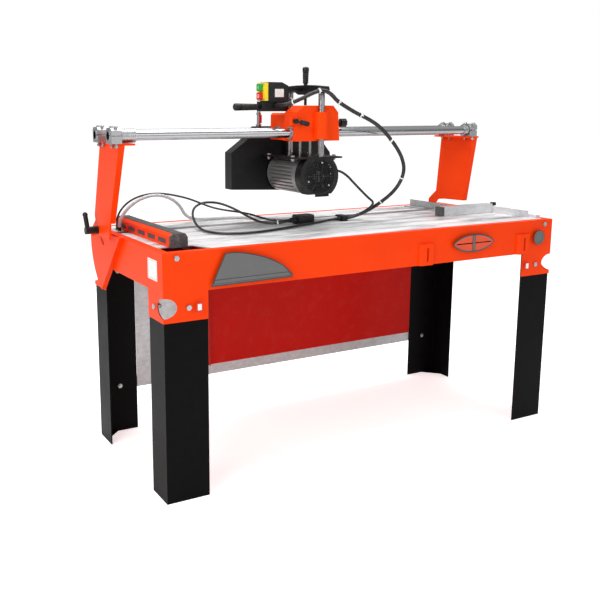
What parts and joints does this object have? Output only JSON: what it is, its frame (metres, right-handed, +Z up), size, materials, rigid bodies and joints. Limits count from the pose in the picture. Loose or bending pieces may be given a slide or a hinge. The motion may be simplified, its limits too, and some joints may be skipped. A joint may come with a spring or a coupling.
{
  "type": "bridge-type wet tile cutter",
  "caption": "Bridge wet tile cutter: water basin on four folded legs, grooved table with blade slot, tilting two-tube bridge, sliding carriage and plunging motor head with blade guard.",
  "frame": {"origin": "on the floor under the middle of the machine's box", "axes": "+X along the table towards the fence end, +Y to the rear, +Z up"},
  "size_m": [1.7348, 0.6725, 1.367],
  "materials": {
    "orange_paint": "gloss powder coat",
    "red_paint": "gloss powder coat",
    "black_paint": "satin powder coat",
    "zinc_bolt": "zinc plated",
    "sticker": "printed film, blank",
    "galvanised": "galvanised sheet",
    "black_plastic": "moulded",
    "aluminium": "mill finish",
    "chromed_tube": "hard chromed",
    "cast_aluminium": "as cast",
    "grey_plastic": "ribbed moulding",
    "rubber_grip": "moulded grip",
    "motor_grey": "grey enamel on finned aluminium",
    "yellow_plastic": "moulded",
    "green_plastic": "moulded",
    "red_plastic": "moulded",
    "machined_steel": "turned",
    "black_cable": "corrugated sleeve",
    "clear_hose": "translucent grey hose"
  },
  "bodies": {
    "root": {"frame_tray": "orange_paint", "quadrant_plate": "orange_paint", "leg_front_left": "black_paint", "leg_front_right": "black_paint", "leg_rear_left": "black_paint", "leg_rear_right": "black_paint", "frame_fasteners": "zinc_bolt", "labels": "sticker", "rear_panel": "red_paint", "rear_rail": "galvanised", "table_front": "galvanised", "table_rear": "galvanised", "table_supports": "galvanised", "stop_bar": "red_paint", "stop_bar_caps": "black_plastic", "fence_rail": "galvanised", "pump": "black_plastic", "pivot_bracket": "galvanised", "lead_loop": "black_cable", "lead_table": "black_cable", "sleeve_cuff": "black_plastic", "inline_connector": "black_plastic", "water_hose": "clear_hose", "pump_cable": "black_cable"},
    "fence": {"fence_slider": "aluminium", "fence_cap": "black_plastic"},
    "fence_knob": {"fence_knob": "black_plastic"},
    "bridge": {"arm_left": "orange_paint", "arm_right": "orange_paint", "tube_front": "chromed_tube", "tube_rear": "chromed_tube", "tube_saddles": "cast_aluminium", "saddle_bolts": "zinc_bolt", "end_collars": "grey_plastic"},
    "tilt_lever": {"tilt_lever": "black_plastic"},
    "carriage": {"carriage_casting": "orange_paint", "slide_bushes": "grey_plastic"},
    "carriage_lock": {"carriage_lock": "black_plastic"},
    "height_lock": {"height_lock": "black_plastic"},
    "head": {"guide_columns": "chromed_tube", "yoke": "black_paint", "top_grip": "rubber_grip", "motor_plate": "black_paint", "plate_bolts": "zinc_bolt", "motor_body": "motor_grey", "fan_cover": "black_plastic", "cable_gland": "black_plastic", "blade_guard": "black_paint", "splash_flap": "rubber_grip", "handle_bracket": "black_paint", "side_grip": "rubber_grip", "switch_box": "black_plastic", "switch_face": "yellow_plastic", "water_valve": "chromed_tube", "lead_head": "black_cable", "motor_cable": "black_cable"},
    "valve_lever": {"valve_lever": "red_plastic"},
    "start_button": {"start_button": "green_plastic"},
    "stop_button": {"stop_button": "red_plastic"},
    "arbor": {"arbor": "machined_steel"}
  },
  "joints": [
    {"name": "bridge_tilt", "type": "hinge", "parent": "root", "child": "bridge", "pos_m": [0, 0.138, 0.815], "axis": [-1, 0, 0], "range_deg": [0, 45]},
    {"name": "carriage_slide", "type": "slide", "parent": "bridge", "child": "carriage", "axis": [1, 0, 0], "range_m": [-0.46, 0.52], "deforming": ["lead_loop", "lead_table", "water_hose", "pump_cable"]},
    {"name": "head_plunge", "type": "slide", "parent": "carriage", "child": "head", "axis": [0, 0, -1], "range_m": [-0.045, 0.035], "deforming": ["motor_cable"]},
    {"name": "arbor_spin", "type": "hinge", "parent": "head", "child": "arbor", "pos_m": [-0.097, 0.138, 0.988], "axis": [0, 1, 0], "continuous": true},
    {"name": "start_press", "type": "slide", "parent": "head", "child": "start_button", "axis": [1, 0, 0], "range_m": [0, 0.004], "stiffness_N_per_m": 400, "springref_m": -0.002},
    {"name": "stop_press", "type": "slide", "parent": "head", "child": "stop_button", "axis": [1, 0, 0], "range_m": [0, 0.004], "stiffness_N_per_m": 400, "springref_m": -0.002},
    {"name": "tilt_lever_turn", "type": "hinge", "parent": "root", "child": "tilt_lever", "pos_m": [-0.815, 0.138, 0.815], "axis": [-1, 0, 0], "range_deg": [-60, 60]},
    {"name": "carriage_lock_turn", "type": "hinge", "parent": "carriage", "child": "carriage_lock", "pos_m": [-0.188, -0.112, 1.179], "axis": [0, 1, 0], "range_deg": [-25, 40]},
    {"name": "height_lock_turn", "type": "hinge", "parent": "carriage", "child": "height_lock", "pos_m": [0.001, -0.1, 1.172], "axis": [1, 0, 0], "continuous": true},
    {"name": "valve_lever_turn", "type": "hinge", "parent": "head", "child": "valve_lever", "pos_m": [-0.188, 0.126, 1.185], "axis": [0, 1, 0], "range_deg": [0, 90]},
    {"name": "fence_slide", "type": "slide", "parent": "root", "child": "fence", "axis": [0, 1, 0], "range_m": [-0.045, 0.02]},
    {"name": "fence_knob_turn", "type": "hinge", "parent": "fence", "child": "fence_knob", "pos_m": [0.822, -0.05, 0.8273], "axis": [0, 0, 1], "continuous": true}
  ]
}
